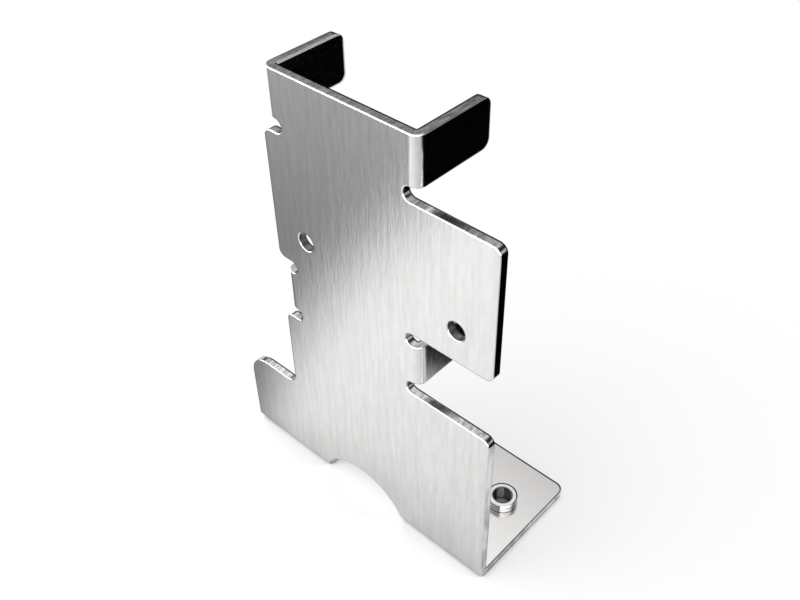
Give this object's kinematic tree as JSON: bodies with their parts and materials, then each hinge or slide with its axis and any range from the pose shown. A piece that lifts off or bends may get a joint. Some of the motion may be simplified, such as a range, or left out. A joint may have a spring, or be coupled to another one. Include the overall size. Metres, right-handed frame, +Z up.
{
  "type": "stamped sheet metal mounting bracket",
  "caption": "Folded sheet metal bracket: upright plate with side ears, small side flanges and a foot on two base flanges, one of them with a pressed-in nut.",
  "frame": {"origin": "on the upright plate's front face, midway between the two fixing holes", "axes": "+Z up, +Y back from the front face towards the flanges' free ends, +X right as seen from the front, away from the foot"},
  "size_m": [0.075, 0.0328, 0.1093],
  "materials": {
    "brushed_steel": "brushed upright, edges broken",
    "bright_steel": "bright zinc plated"
  },
  "bodies": {
    "root": {"bracket": "brushed_steel", "clinch_nut": "bright_steel"}
  },
  "joints": []
}
